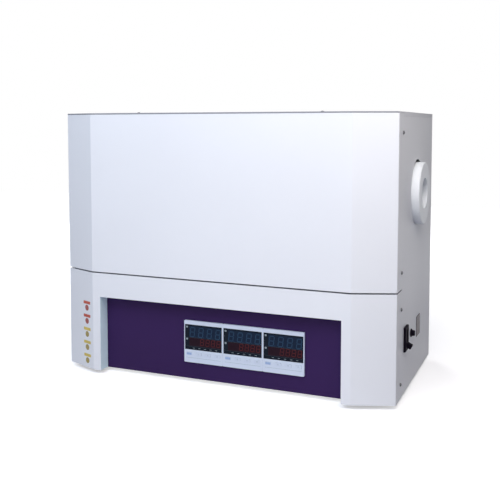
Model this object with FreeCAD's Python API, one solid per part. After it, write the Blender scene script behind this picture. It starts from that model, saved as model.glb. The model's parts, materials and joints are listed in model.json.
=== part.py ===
# Three-zone tube furnace: a folded sheet case on a tube frame, with a horizontal round
# heating chamber above a control bay. Millimetres, +Z up, front at -Y, and the origin is the
# centre of the footprint on the floor.
import FreeCAD, Part
import math
import os
from FreeCAD import Vector

# Case
case_width = 800.0
case_depth = 430.0
case_height = 605.0
foot_height = 10.0
sheet = 1.5
seat_gap = 0.3
fold_radius = 3.0

# Front covers
chamfer_width = 87.6
chamfer_depth = 34.1
return_length = 48.5
seam_height = 233.4
seam_width = 3.0
flange_width = 12.0
opening_half_width = 292.0
opening_height = 175.7
recess_depth = 30.0

# Top, side and rear panels
top_lip_front = 3.0
top_lip_side = 9.0
rear_recess = 5.0
panel_hole_radius = 74.0
panel_hole_lift = 3.0

# Frame
tube_size = 20.0
tube_wall = 1.5
front_post_setback = 59.0
top_rail_drop = 0.3
deck_drop = 1.9
base_thickness = 2.0
base_lip = 20.0
base_setback = 47.0

# Heating chamber
drum_floor_gap = 32.7
drum_top_gap = 20.8
end_air_gap = 50.0
chamber_bore_radius = 45.0
former_radius = 55.0
zone_gap = 0.3
wire_size = 3.0
wire_runs = 12
wire_end_margin = 10.0
end_board_thickness = 50.0
end_step_depth = 30.0
end_ring_gap = 2.0
fibre_clearance = 0.5

# Collars
collar_radius = 70.0
collar_bore_radius = 35.0
collar_proud = 17.0
collar_edge = 2.0

# Thermocouples and heater leads
sheath_radius = 3.0
probe_clearance = 0.3
probe_head_radius = 9.0
probe_head_length = 18.0
probe_room = 5.6
lead_clearance = 2.5
lead_post_margin = 8.0
lead_post_height = 22.0
lead_post_clearance = 0.05

# Saddles
saddle_spread = 230.0
saddle_thickness = 3.0
saddle_wrap = 59.3
saddle_margin = 8.0
saddle_foot = 22.0

# Controllers
controller_x = 60.0
controller_z = 87.0
controller_pitch = 96.0
bezel_gap = 0.3
bezel_thickness = 5.0
bezel_corner = 2.0
case_side = 91.0
cutout_clearance = 0.5
controller_depth = 65.0
window_top_border = 8.7
window_side_border = 2.0
window_height = 58.0
window_depth = 1.5
window_thickness = 1.2
window_clearance = 0.1
key_first = -35.1
key_pitch = 23.4
key_width = 14.0
key_height = 7.0
key_corner = 1.0
key_z = 20.0
key_proud = 0.9
key_length = 3.6
key_pocket_depth = 4.0
key_clearance = 0.3
clamp_width = 20.0
clamp_height = 7.0
clamp_length = 14.0

# Breaker and its lever
breaker_setback = 121.0
breaker_z = 119.5
breaker_width = 34.0
breaker_height = 53.0
breaker_proud = 5.0
breaker_depth = 62.0
breaker_edge = 1.25
breaker_step = 1.5
lever_pivot_depth = 22.0
lever_rest_angle = 26.0
lever_thickness = 10.0
lever_width = 10.0
lever_reach = 16.9
lever_hub_radius = 6.5
lever_side_gap = 0.4
lever_slot_margin = 1.2
lever_tip_round = 1.2
pin_radius = 2.5
pin_clearance = 0.05
pin_end = 4.0
pin_end_gap = 0.2

# Fuse holder, its cap and the fuse link
fuse_setback = 186.0
fuse_z = 115.4
fuse_flange_radius = 9.5
fuse_flange_proud = 2.2
fuse_flange_edge = 1.0
fuse_barrel_radius = 7.2
fuse_depth = 36.0
fuse_bore_radius = 5.3
fuse_bore_clearance = 0.05
fuse_nut_flats = 19.0
fuse_nut_thickness = 4.0
cap_radius = 6.9
cap_tip_radius = 5.8
cap_length = 6.3
cap_stem_length = 12.0
cap_slot_width = 1.4
cap_slot_depth = 1.5
link_radius = 2.6
link_length = 20.0
link_socket_depth = 6.0
link_clearance = 0.05

# Bare plate on the right side
plate_setback = 250.5
plate_width = 42.0
plate_height = 46.5
plate_z = 90.0
plate_thickness = 1.0

# Rear panels
louvre_length = 130.0
louvre_height = 12.0
louvre_proud = 4.2
louvre_pitch = 24.0
louvre_slope = 4.0
louvre_lower_band = 3.0
upper_louvre_spread = 190.0
upper_louvre_start = 60.0
upper_louvre_count = 9
lower_louvre_start = 70.0
lower_louvre_count = 5
bushing_inset = 100.0
bushing_z = 50.0
bushing_bore_radius = 6.0
bushing_neck_radius = 11.0
bushing_flange_radius = 15.0
bushing_flange = 3.5
bushing_edge = 2.0

# Control bay
sink_x = -215.0
sink_y = 0.0
sink_width = 246.0
sink_length = 120.0
sink_base = 8.0
fin_height = 32.0
fin_thickness = 3.0
fin_count = 17
relay_width = 45.0
relay_length = 58.0
relay_height = 23.0
relay_pitch = 78.0
relay_step = 8.0
relay_step_depth = 6.0
block_offset = 80.0
block_y = 120.0
block_length = 110.0
block_width = 30.0
block_height = 24.0
block_ways = 7
rib_thickness = 2.0
rib_height = 8.0

# Flats round screws, small fittings and the hidden drums
screw_flats = 8
fitting_flats = 24
drum_flats = 48

# Fasteners and feet
screw_shank_radius = 2.0
screw_hole_clearance = 0.05
screw_head_radius = 4.0
screw_head_tip_radius = 2.9
screw_head_height = 3.0
screw_length = 9.0
side_screw_setback = 73.6
screw_above_bottom = 32.5
screw_below_seam = 41.4
screw_above_seam = 36.7
screw_below_top = 43.3
top_screw_inset = 174.1
foot_side_inset = 65.0
foot_front_setback = 88.0
foot_rear_setback = 55.0
foot_radius = 18.0
foot_tip_radius = 15.0
foot_recess_radius = 6.5
foot_recess_depth = 5.0
foot_screw_radius = 2.5
foot_screw_head_radius = 5.0
foot_screw_head_height = 3.0
foot_screw_length = 15.0
foot_nut_flats = 9.0
foot_nut_thickness = 4.0

# Places worked out from the sizes above
half_width = case_width / 2
front_y = -case_depth / 2
rear_y = case_depth / 2
case_bottom = foot_height
case_top = foot_height + case_height
inner_x = half_width - sheet - seat_gap
post_inner_x = inner_x - tube_size
front_post_y = front_y + front_post_setback
rear_panel_y = rear_y - rear_recess - sheet
rear_post_y = rear_panel_y - seat_gap - tube_size
return_end_y = front_y + chamfer_depth + return_length
seam_z = case_bottom + seam_height
lower_cover_top = seam_z - seam_width / 2
upper_cover_bottom = seam_z + seam_width / 2
upper_cover_top = case_top - top_lip_front - seat_gap
side_panel_top = case_top - top_lip_side - seat_gap
base_top = case_bottom + base_thickness
deck_top = seam_z - deck_drop
deck_bottom = deck_top - sheet
top_rail_top = case_top - sheet - top_rail_drop
post_top = top_rail_top - tube_size / 2
panel_front_y = front_y + recess_depth + seat_gap
panel_rear_y = panel_front_y + sheet
panel_half = opening_half_width + flange_width
base_front_y = panel_rear_y + seat_gap
jacket_radius = (case_top - drum_top_gap - deck_top - drum_floor_gap) / 2
axis_y = rear_panel_y - probe_room - probe_head_length - seat_gap - jacket_radius
axis_z = deck_top + drum_floor_gap + jacket_radius
jacket_half_length = half_width - end_air_gap
chamber_half_length = jacket_half_length - end_board_thickness
step_x = jacket_half_length - end_step_depth
collar_face_x = half_width + collar_proud
controller_mid_z = case_bottom + controller_z
bezel_face_y = panel_front_y - bezel_thickness
breaker_y = front_y + breaker_setback
breaker_mid_z = case_bottom + breaker_z
lever_pivot_x = half_width - lever_pivot_depth
fuse_y = front_y + fuse_setback
fuse_mid_z = case_bottom + fuse_z
fuse_face_x = half_width + fuse_flange_proud
cap_face_x = fuse_face_x + seat_gap
stem_end_x = cap_face_x - cap_stem_length
link_start_x = stem_end_x + link_socket_depth
fuse_bore_end_x = link_start_x - link_length - seat_gap

screw_heights = (case_bottom + screw_above_bottom, seam_z - screw_below_seam,
                 seam_z + screw_above_seam, case_top - screw_below_top)

LEFT = Vector(-1, 0, 0)
RIGHT = Vector(1, 0, 0)
BACK = Vector(0, 1, 0)
UP = Vector(0, 0, 1)
DOWN = Vector(0, 0, -1)
SIDES = (-1, 1)
ZONES = ("left", "middle", "right")
zone_length = 2 * chamber_half_length / len(ZONES)
run_radius = (former_radius + seat_gap + wire_size / 2) / math.cos(math.pi / wire_runs)
run_angle = 2 * math.pi / wire_runs
lead_y = run_radius * math.sin(run_angle / 2)
link_reach = lead_y + wire_size / 2 * math.cos(run_angle / 2)
link_depth = run_radius * math.cos(run_angle / 2)
insulation_bore_radius = math.hypot(link_depth + wire_size / 2, link_reach) + seat_gap
cut_margin = 1.0
tolerance = 1e-3


def box(x_low, x_high, y_low, y_high, z_low, z_high):
    """Block between two values along each axis."""
    size = (x_high - x_low, y_high - y_low, z_high - z_low)
    return Part.makeBox(*size, Vector(x_low, y_low, z_low))


def rod(radius, start, direction, length):
    """Round bar from a start point."""
    return Part.makeCylinder(radius, length, start, direction)


def small_round(radius, start, direction, length, tip_radius=None, flats=screw_flats):
    """Bar, or a taper to tip_radius, with flats in place of a round side."""
    ends = []
    for size, height in ((radius, 0), (radius if tip_radius is None else tip_radius, length)):
        turns = [2 * math.pi * step / flats for step in range(flats)]
        outline = [Vector(size * math.cos(turn), size * math.sin(turn), height) for turn in turns]
        ends.append(Part.makePolygon(outline + outline[:1]))
    bar = Part.makeLoft(ends, True, True)
    bar.Placement = FreeCAD.Placement(start, FreeCAD.Rotation(UP, direction))
    return bar


def fitting(radius, start, direction, length, tip_radius=None):
    """Bar or taper of a round fitting, with more flats than a screw."""
    return small_round(radius, start, direction, length, tip_radius, fitting_flats)


def drum(radius, start, direction, length):
    """Large hidden cylinder with many narrow flats."""
    return small_round(radius, start, direction, length, flats=drum_flats)


def sleeve(outer, inner, start, direction, length):
    """Round tube from a start point."""
    return drum(outer, start, direction, length).cut(drum(inner, start, direction, length))


def plate_in_plan(points, z_low, z_high):
    """Plate with a straight-sided outline in plan."""
    outline = [Vector(x, y, z_low) for x, y in points]
    face = Part.Face(Part.makePolygon(outline + outline[:1]))
    return face.extrude(UP * (z_high - z_low))


def hexagon(flats, start, direction, length):
    """Hexagonal block on the given axis, measured across its flats."""
    corner = flats / math.sqrt(3)
    turns = [math.pi * step / 3 for step in range(6)]
    outline = [Vector(corner * math.cos(turn), corner * math.sin(turn), 0) for turn in turns]
    block = Part.Face(Part.makePolygon(outline + outline[:1])).extrude(UP * length)
    block.Placement = FreeCAD.Placement(start, FreeCAD.Rotation(UP, direction))
    return block


def union(solids):
    """One solid from several that touch or overlap."""
    return solids[0].fuse(solids[1:]).removeSplitter()


def save(name, solids):
    """Write one piece, or a group of like pieces, to its own file."""
    shape = solids[0] if len(solids) == 1 else Part.makeCompound(solids)
    shape.exportStep("parts/" + name + ".step")


def folds_rounded(solid, radius, fold_points):
    """Round the upright edges that stand on the given plan points."""
    edges = []
    for edge in solid.Edges:
        ends = [v.Point for v in edge.Vertexes]
        upright = len(ends) == 2 and (ends[0] - ends[1]).cross(UP).Length < tolerance
        if upright and any((Vector(x, y, ends[0].z) - ends[0]).Length < tolerance for x, y in fold_points):
            edges.append(edge)
    return solid.makeFillet(radius, edges)


def front_outline(inset, back_y):
    """Plan of the chamfered front, moved inward by inset and closed along back_y."""
    slope = math.hypot(chamfer_width, chamfer_depth)
    facet_x = half_width - chamfer_width - inset * (slope - chamfer_width) / chamfer_depth
    facet_y = front_y + inset
    side_x = half_width - inset
    side_y = front_y + chamfer_depth + inset * (slope - chamfer_depth) / chamfer_width
    right = [(facet_x, facet_y), (side_x, side_y), (side_x, back_y)]
    return [(-x, y) for x, y in reversed(right)] + right


def front_block(inset, back_y, z_low, z_high):
    """Solid block behind the chamfered front, with its four folds rounded."""
    points = front_outline(inset, back_y)
    block = plate_in_plan(points, z_low, z_high)
    radius = max(fold_radius - inset, 0.0)
    if radius > 0:
        block = folds_rounded(block, radius, points[1:5])
    return block


def front_shell(z_low, z_high):
    """Folded front sheet with short returns, and a flange along its top and bottom edge."""
    back_y = return_end_y + cut_margin
    shell = front_block(0, return_end_y, z_low, z_high)
    hollow = front_block(sheet, back_y, z_low + sheet, z_high - sheet)
    window = plate_in_plan(front_outline(flange_width, back_y), z_low - cut_margin, z_high + cut_margin)
    flange_end = front_y + chamfer_depth + flange_width
    inner = half_width - sheet
    behind = box(-inner, inner, flange_end, back_y, z_low - cut_margin, z_high + cut_margin)
    return shell.cut([hollow, window, behind])


def screw_hole(point, direction):
    """Bore for a screw whose head stands on the point and looks along the direction."""
    radius = screw_shank_radius + screw_hole_clearance
    return small_round(radius, point + direction * cut_margin, -direction, 2 * screw_length)


def side_screws():
    """Place and direction of each screw down both returns of the covers."""
    y = front_y + side_screw_setback
    return [(Vector(side * half_width, y, z), RIGHT * side) for side in SIDES for z in screw_heights]


def upper_front_cover():
    """Tall folded cover in front of the heating chamber."""
    cover = front_shell(upper_cover_bottom, upper_cover_top)
    return cover.cut([screw_hole(point, out) for point, out in side_screws()])


def lower_front_cover():
    """Lower cover with legs, and an opening whose edges are folded back to the control panel."""
    cover = front_shell(case_bottom, lower_cover_top)
    opening_top = case_bottom + opening_height
    reveal_back = front_y + recess_depth
    outer = opening_half_width + sheet
    rim = box(-outer, outer, front_y, reveal_back, case_bottom, opening_top + sheet)
    cover = union([cover, rim])
    opening = box(-opening_half_width, opening_half_width, front_y - cut_margin,
                  return_end_y, case_bottom - cut_margin, opening_top)
    return cover.cut([opening] + [screw_hole(point, out) for point, out in side_screws()])


def controller_centres():
    """Middle of each controller along X, left to right."""
    return [controller_x + step * controller_pitch for step in (-1, 0, 1)]


def control_panel():
    """Recessed panel with one cutout for the row of controllers, folded back along its top."""
    top = case_bottom + opening_height + flange_width
    panel = box(-panel_half, panel_half, panel_front_y, panel_rear_y, case_bottom, top)
    head = box(-panel_half, panel_half, panel_front_y, panel_front_y + flange_width, top - sheet, top)
    half_cut = case_side / 2 + cutout_clearance
    cutout = box(controller_x - controller_pitch - half_cut, controller_x + controller_pitch + half_cut,
                 panel_front_y - cut_margin, panel_rear_y + cut_margin,
                 controller_mid_z - half_cut, controller_mid_z + half_cut)
    return union([panel, head]).cut(cutout)


def top_panel():
    """Top sheet over the whole plan, with a shallow front lip and deeper lips over the sides and rear."""
    skin = front_block(0, rear_y, case_top - top_lip_side, case_top)
    hollow = front_block(sheet, rear_y - sheet, case_top - top_lip_side - cut_margin, case_top - sheet)
    trim = box(-case_width, case_width, front_y - cut_margin, return_end_y,
               case_top - top_lip_side - cut_margin, case_top - top_lip_front)
    return skin.cut([hollow, trim] + [screw_hole(point, out) for point, out in top_screws()])


def top_screws():
    """Place and direction of each screw on the top sheet, over the front and rear top rails."""
    x = half_width - top_screw_inset
    rows = (front_y + side_screw_setback, rear_post_y + tube_size / 2)
    return [(Vector(side * x, y, case_top), UP) for side in SIDES for y in rows]


def side_panel(side):
    """Side sheet with the round hole round the collar."""
    inner = half_width - sheet
    low, high = sorted((side * inner, side * half_width))
    panel = box(low, high, return_end_y + seat_gap, rear_y, case_bottom, side_panel_top)
    centre = Vector(side * (half_width + cut_margin), axis_y, axis_z + panel_hole_lift)
    return panel.cut(rod(panel_hole_radius, centre, RIGHT * -side, sheet + 2 * cut_margin))


def right_side_panel():
    """Right side sheet, also cut for the breaker and the fuse holder."""
    x_low = half_width - sheet - cut_margin
    x_high = half_width + cut_margin
    half_y = breaker_width / 2 - breaker_step + seat_gap
    half_z = breaker_height / 2 - breaker_step + seat_gap
    breaker_cut = box(x_low, x_high, breaker_y - half_y, breaker_y + half_y,
                      breaker_mid_z - half_z, breaker_mid_z + half_z)
    fuse_start = Vector(x_low, fuse_y, fuse_mid_z)
    fuse_cut = fitting(fuse_barrel_radius + seat_gap, fuse_start, RIGHT, x_high - x_low)
    return side_panel(1).cut([breaker_cut, fuse_cut])


def louvre(x, z):
    """Pressed hood, open along its lower edge: the raised form and what is cut from it."""
    half = louvre_length / 2
    face_y = rear_panel_y + sheet
    raised = Part.makeWedge(x - half, face_y - sheet / 2, z, z, x - half + louvre_slope,
                            x + half, face_y + louvre_proud, z + louvre_height,
                            z + louvre_lower_band, x + half - louvre_slope)
    hollow = Part.makeWedge(x - half + sheet, rear_panel_y - cut_margin, z - sheet, z - sheet,
                            x - half + sheet + louvre_slope, x + half - sheet,
                            face_y + louvre_proud - sheet, z + louvre_height - sheet,
                            z + louvre_lower_band - sheet, x + half - sheet - louvre_slope)
    below = box(x - half, x + half, rear_panel_y - cut_margin, face_y, z - sheet, z)
    return raised, hollow.cut(below)


def rear_screws():
    """Place and direction of each screw of the rear sheets, on both rear posts."""
    x = inner_x - tube_size / 2
    y = rear_panel_y + sheet
    return [(Vector(side * x, y, z), BACK) for side in SIDES for z in screw_heights]


def rear_panel(z_low, z_high, centres, first_z, count):
    """Rear sheet with its columns of louvres."""
    panel = box(-inner_x, inner_x, rear_panel_y, rear_panel_y + sheet, z_low, z_high)
    forms = [louvre(x, first_z + row * louvre_pitch) for x in centres for row in range(count)]
    panel = union([panel] + [raised for raised, hollow in forms])
    holes = [screw_hole(point, out) for point, out in rear_screws()]
    return panel.cut([hollow for raised, hollow in forms] + holes)


def rear_upper_panel():
    """Rear sheet of the heating chamber's space."""
    centres = (-upper_louvre_spread, upper_louvre_spread)
    first_z = seam_z + upper_louvre_start
    top = case_top - sheet - seat_gap
    return rear_panel(seam_z + seat_gap, top, centres, first_z, upper_louvre_count)


def rear_lower_panel():
    """Rear sheet of the control bay, with the hole for the cord bushing."""
    first_z = case_bottom + lower_louvre_start
    panel = rear_panel(base_top + seat_gap, seam_z - seat_gap, (0,), first_z, lower_louvre_count)
    hole = fitting(bushing_neck_radius + seat_gap, bushing_point() - BACK * cut_margin, BACK,
                   sheet + 2 * cut_margin)
    return panel.cut(hole)


def bushing_point():
    """Centre of the cord bushing on the inner face of the rear sheet."""
    return Vector(half_width - bushing_inset, rear_panel_y, case_bottom + bushing_z)


def cord_bushing():
    """Empty bushing for a supply cord, with a flange on each side of the sheet."""
    centre = bushing_point()
    rear_face = centre + BACK * sheet
    neck = fitting(bushing_neck_radius, centre, BACK, sheet)
    outer = fitting(bushing_flange_radius, rear_face, BACK, bushing_flange,
                    bushing_flange_radius - bushing_edge)
    inner = fitting(bushing_flange_radius, centre, -BACK, bushing_flange)
    total = sheet + 2 * bushing_flange
    bore = fitting(bushing_bore_radius, centre - BACK * bushing_flange, BACK, total)
    return union([neck, outer, inner]).cut(bore)


def tube_bar(low, high, along):
    """Square steel tube between two corners, open at the ends of one direction."""
    inner_low = [v - cut_margin if i == along else v + tube_wall for i, v in enumerate(low)]
    inner_high = [v + cut_margin if i == along else v - tube_wall for i, v in enumerate(high)]
    outer = box(low[0], high[0], low[1], high[1], low[2], high[2])
    return outer.cut(box(inner_low[0], inner_high[0], inner_low[1], inner_high[1],
                         inner_low[2], inner_high[2]))


def post_corners():
    """Low X and low Y of each corner post."""
    return [(x, y) for x in (-inner_x, post_inner_x) for y in (front_post_y, rear_post_y)]


def corner_posts():
    """Four square-tube posts from the base to the top rails."""
    holes = [screw_hole(point, out) for point, out in side_screws() + rear_screws()]
    posts = []
    for x, y in post_corners():
        post = tube_bar((x, y, base_top), (x + tube_size, y + tube_size, post_top), 2)
        posts.append(post.cut(holes))
    return posts


def rail_ring(z_low, z_high):
    """Four rails that close a ring between the posts."""
    rails = []
    for y in (front_post_y, rear_post_y):
        rails.append(tube_bar((-post_inner_x, y, z_low), (post_inner_x, y + tube_size, z_high), 0))
    for x in (-inner_x, post_inner_x):
        rails.append(tube_bar((x, front_post_y + tube_size, z_low),
                              (x + tube_size, rear_post_y, z_high), 1))
    return rails


def top_rails():
    """Ring of rails under the top sheet, bored for the top screws."""
    holes = [screw_hole(point, out) for point, out in top_screws()]
    return [rail.cut(holes) for rail in rail_ring(top_rail_top - tube_size, top_rail_top)]


def deck_rails():
    """Ring of rails under the deck."""
    return rail_ring(deck_bottom - tube_size, deck_bottom)


def deck():
    """Sheet between chamber and control bay, notched round the posts."""
    plate = box(-inner_x, inner_x, front_post_y, rear_post_y + tube_size, deck_bottom, deck_top)
    notches = []
    for x, y in post_corners():
        notches.append(box(x - seat_gap, x + tube_size + seat_gap, y - seat_gap,
                           y + tube_size + seat_gap, deck_bottom, deck_top))
    return plate.cut(notches)


def base_plate():
    """Floor of the case, with upturned lips, a tongue behind the control panel and foot screw holes."""
    setback_y = front_y + base_setback
    plate = box(-inner_x, inner_x, setback_y, rear_post_y + tube_size, case_bottom, base_top)
    tongue = box(-panel_half, panel_half, base_front_y, setback_y, case_bottom, base_top)
    front_lip = box(-panel_half, panel_half, base_front_y, base_front_y + base_thickness,
                    case_bottom, case_bottom + base_lip)
    lips = [tongue, front_lip]
    for side in SIDES:
        low, high = sorted((side * inner_x, side * (inner_x - base_thickness)))
        lips.append(box(low, high, front_post_y + tube_size + cut_margin, rear_post_y - cut_margin,
                        case_bottom, case_bottom + base_lip))
    half = post_inner_x - cut_margin
    rear = rear_post_y + tube_size
    lips.append(box(-half, half, rear - base_thickness, rear, case_bottom, case_bottom + base_lip))
    holes = [small_round(foot_screw_radius, Vector(x, y, case_bottom), UP, base_thickness)
             for x, y in foot_points()]
    return union([plate] + lips).cut(holes)


def foot_points():
    """Plan places of the four feet."""
    rows = (front_y + foot_front_setback, rear_y - foot_rear_setback)
    return [(side * (half_width - foot_side_inset), y) for side in SIDES for y in rows]


def feet():
    """Tapered rubber feet with a pocket for the screw's head."""
    shapes = []
    for x, y in foot_points():
        foot = fitting(foot_tip_radius, Vector(x, y, 0), UP, foot_height, foot_radius)
        pocket = small_round(foot_recess_radius, Vector(x, y, 0), UP, foot_recess_depth)
        bore = small_round(foot_screw_radius, Vector(x, y, 0), UP, foot_height)
        shapes.append(foot.cut([pocket, bore]))
    return shapes


def foot_screws():
    """Screws through the feet into the base, each with its nut."""
    shapes = []
    for x, y in foot_points():
        seat = Vector(x, y, foot_recess_depth)
        head = small_round(foot_screw_head_radius, seat, DOWN, foot_screw_head_height)
        shank = small_round(foot_screw_radius, seat, UP, foot_screw_length)
        bore = small_round(foot_screw_radius, Vector(x, y, base_top), UP, foot_nut_thickness)
        shapes.append(union([head, shank]))
        shapes.append(hexagon(foot_nut_flats, Vector(x, y, base_top), UP, foot_nut_thickness).cut(bore))
    return shapes


def pan_screw(point, direction):
    """Screw whose domed head stands on the point."""
    head = small_round(screw_head_radius, point, direction, screw_head_height, screw_head_tip_radius)
    return union([head, small_round(screw_shank_radius, point, -direction, screw_length)])


def zone_start(index):
    """Low X of a heating zone."""
    return -chamber_half_length + index * zone_length


def wire_ends(index):
    """Low and high X of a zone's winding."""
    start = zone_start(index)
    return start + wire_end_margin, start + zone_length - wire_end_margin


def probe_x(index):
    """X of a zone's thermocouple."""
    return zone_start(index) + zone_length / 2


def on_axis(x):
    """Point on the chamber's axis."""
    return Vector(x, axis_y, axis_z)


def probe_bores():
    """Holes for the thermocouples, from the chamber's axis to the rear."""
    length = jacket_radius + cut_margin
    return [small_round(sheath_radius + probe_clearance, on_axis(probe_x(index)), BACK, length)
            for index in range(len(ZONES))]


def lead_slots():
    """Slots for each winding's pair of leads, down through insulation and jacket."""
    slots = []
    half_x = wire_size / 2 + lead_clearance
    half_y = lead_y + wire_size / 2 + lead_clearance
    for index in range(len(ZONES)):
        x = wire_ends(index)[0]
        slots.append(box(x - half_x, x + half_x, axis_y - half_y, axis_y + half_y,
                         axis_z - jacket_radius - cut_margin, axis_z - former_radius))
    return slots


def former(index):
    """Ceramic tube of one zone, that carries its winding."""
    start = on_axis(zone_start(index) + zone_gap / 2)
    return sleeve(former_radius, chamber_bore_radius, start, RIGHT, zone_length - zone_gap)


def turned_about_axis(block, angle):
    """Block turned about the chamber's axis."""
    block.rotate(on_axis(0), RIGHT, math.degrees(angle))
    return block


def winding(index):
    """Resistance wire laid to and fro along the former, with both leads run down to their block."""
    half = wire_size / 2
    x_low, x_high = wire_ends(index)
    low = axis_z - run_radius
    bars = []
    for run in range(wire_runs):
        bar = box(x_low - half, x_high + half, axis_y - half, axis_y + half, low - half, low + half)
        bars.append(turned_about_axis(bar, (run + 0.5) * run_angle))
    link_z = axis_z - link_depth
    for link in range(1, wire_runs):
        x = x_high if link % 2 else x_low
        bar = box(x - half, x + half, axis_y - link_reach, axis_y + link_reach,
                  link_z - half, link_z + half)
        bars.append(turned_about_axis(bar, link * run_angle))
    lead_low = deck_top + lead_post_height / 2
    for side in SIDES:
        y = axis_y + side * lead_y
        bars.append(box(x_low - half, x_low + half, y - half, y + half, lead_low, link_z))
    return union(bars)


def lead_posts():
    """Ceramic blocks on the deck that take each winding's pair of leads."""
    posts = []
    for index in range(len(ZONES)):
        x = wire_ends(index)[0]
        half_x = wire_size / 2 + lead_post_margin
        half_y = lead_y + half_x
        block = box(x - half_x, x + half_x, axis_y - half_y, axis_y + half_y, deck_top,
                    deck_top + lead_post_height)
        half = wire_size / 2 + lead_post_clearance
        sockets = [box(x - half, x + half, axis_y + side * lead_y - half, axis_y + side * lead_y + half,
                       deck_top + lead_post_height / 2, deck_top + lead_post_height) for side in SIDES]
        posts.append(block.cut(sockets))
    return posts


def insulation(upper):
    """Half of the fibre insulation round the formers, split at the chamber's axis."""
    length = 2 * (chamber_half_length - seat_gap)
    start = on_axis(-chamber_half_length + seat_gap)
    outer = jacket_radius - sheet - seat_gap
    whole = sleeve(outer, insulation_bore_radius, start, RIGHT, length)
    low, high = (seat_gap / 2, outer) if upper else (-outer, -seat_gap / 2)
    half = box(-jacket_half_length, jacket_half_length, axis_y - jacket_radius, axis_y + jacket_radius,
               axis_z + low, axis_z + high)
    return whole.common(half).cut(probe_bores() + lead_slots())


def end_board(side):
    """Fibre disc at one end of the chamber, stepped for the collar."""
    start = on_axis(side * chamber_half_length)
    disc = drum(jacket_radius - sheet - seat_gap, start, RIGHT * side, end_board_thickness)
    through = drum(chamber_bore_radius + fibre_clearance, start, RIGHT * side, end_board_thickness)
    step = drum(collar_radius + fibre_clearance, on_axis(side * step_x), RIGHT * side, end_step_depth)
    return disc.cut([through, step])


def heater_jacket():
    """Sheet drum round the insulation, with a ring over each end board."""
    start = on_axis(-jacket_half_length)
    wall = sleeve(jacket_radius, jacket_radius - sheet, start, RIGHT, 2 * jacket_half_length)
    shapes = [wall.cut(probe_bores() + lead_slots())]
    for side in SIDES:
        end = on_axis(side * jacket_half_length)
        shapes.append(sleeve(jacket_radius, collar_radius + end_ring_gap, end, RIGHT * side, sheet))
    return shapes


def saddles():
    """Two cradles that hold the drum above the deck."""
    shapes = []
    half = math.sqrt(jacket_radius ** 2 - (jacket_radius - saddle_wrap) ** 2) + saddle_margin
    web_top = deck_top + drum_floor_gap + saddle_wrap
    for side in SIDES:
        x = side * saddle_spread
        web = box(x, x + saddle_thickness, axis_y - half, axis_y + half, deck_top, web_top)
        foot = box(x, x + saddle_foot, axis_y - half, axis_y + half, deck_top, deck_top + saddle_thickness)
        seat = rod(jacket_radius + seat_gap, on_axis(x - saddle_foot), RIGHT, 3 * saddle_foot)
        shapes.append(union([web, foot]).cut(seat))
    return shapes


def thermocouples():
    """Sheathed probes from the formers to their heads behind the drum."""
    shapes = []
    tip = former_radius + seat_gap
    head_start = jacket_radius + seat_gap
    for index in range(len(ZONES)):
        centre = on_axis(probe_x(index))
        sheath = small_round(sheath_radius, centre + BACK * tip, BACK, head_start - tip)
        head = small_round(probe_head_radius, centre + BACK * head_start, BACK, probe_head_length)
        shapes.append(union([sheath, head]))
    return shapes


def collar(side):
    """Fibre sleeve that fills the end of the chamber and stands out through the side sheet."""
    tip_x = chamber_half_length + seat_gap
    shoulder_x = step_x + seat_gap
    profile = [(tip_x, collar_bore_radius), (tip_x, chamber_bore_radius),
               (shoulder_x, chamber_bore_radius), (shoulder_x, collar_radius),
               (collar_face_x - collar_edge, collar_radius),
               (collar_face_x, collar_radius - collar_edge), (collar_face_x, collar_bore_radius)]
    outline = [Vector(side * x, axis_y, axis_z + radius) for x, radius in profile]
    face = Part.Face(Part.makePolygon(outline + outline[:1]))
    return face.revolve(on_axis(0), RIGHT, 360)


def controller(centre_x):
    """Panel instrument: bezel and case in one, with pockets for the window and the four keys."""
    half = (controller_pitch - bezel_gap) / 2
    z_low = controller_mid_z - controller_pitch / 2
    z_high = controller_mid_z + controller_pitch / 2
    bezel = box(centre_x - half, centre_x + half, bezel_face_y, panel_front_y, z_low, z_high)
    bezel = bezel.makeFillet(bezel_corner, [e for e in bezel.Edges if is_along_y(e)])
    half_case = case_side / 2
    case = box(centre_x - half_case, centre_x + half_case, panel_front_y,
               panel_front_y + controller_depth, controller_mid_z - half_case,
               controller_mid_z + half_case)
    pockets = [window_block(centre_x, 0, 0, window_depth)]
    for key in range(4):
        pockets.append(key_block(centre_x, key, -key_clearance, key_pocket_depth))
    return union([bezel, case]).cut(pockets)


def is_along_y(edge):
    """True for a straight edge along Y."""
    ends = [v.Point for v in edge.Vertexes]
    return len(ends) == 2 and (ends[0] - ends[1]).cross(BACK).Length < tolerance


def window_block(centre_x, inset, y_start, y_end):
    """Window's block behind the bezel's face, smaller all round by inset."""
    half = controller_pitch / 2 - window_side_border - inset
    z_high = controller_mid_z + controller_pitch / 2 - window_top_border
    return box(centre_x - half, centre_x + half, bezel_face_y + y_start, bezel_face_y + y_end,
               z_high - window_height + inset, z_high - inset)


def controller_windows():
    """Dark display windows, one in each bezel."""
    front = window_depth - window_thickness
    return [window_block(x, window_clearance, front, window_depth) for x in controller_centres()]


def key_block(centre_x, key, inset, depth):
    """Block on one key's place, from well in front of the bezel's face to the given depth."""
    x = centre_x + key_first + key * key_pitch
    z = controller_mid_z - controller_pitch / 2 + key_z
    half_x = key_width / 2 - inset
    half_z = key_height / 2 - inset
    block = box(x - half_x, x + half_x, bezel_face_y - key_proud, bezel_face_y + depth,
                z - half_z, z + half_z)
    return block.makeChamfer(key_corner, [e for e in block.Edges if is_along_y(e)])


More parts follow.
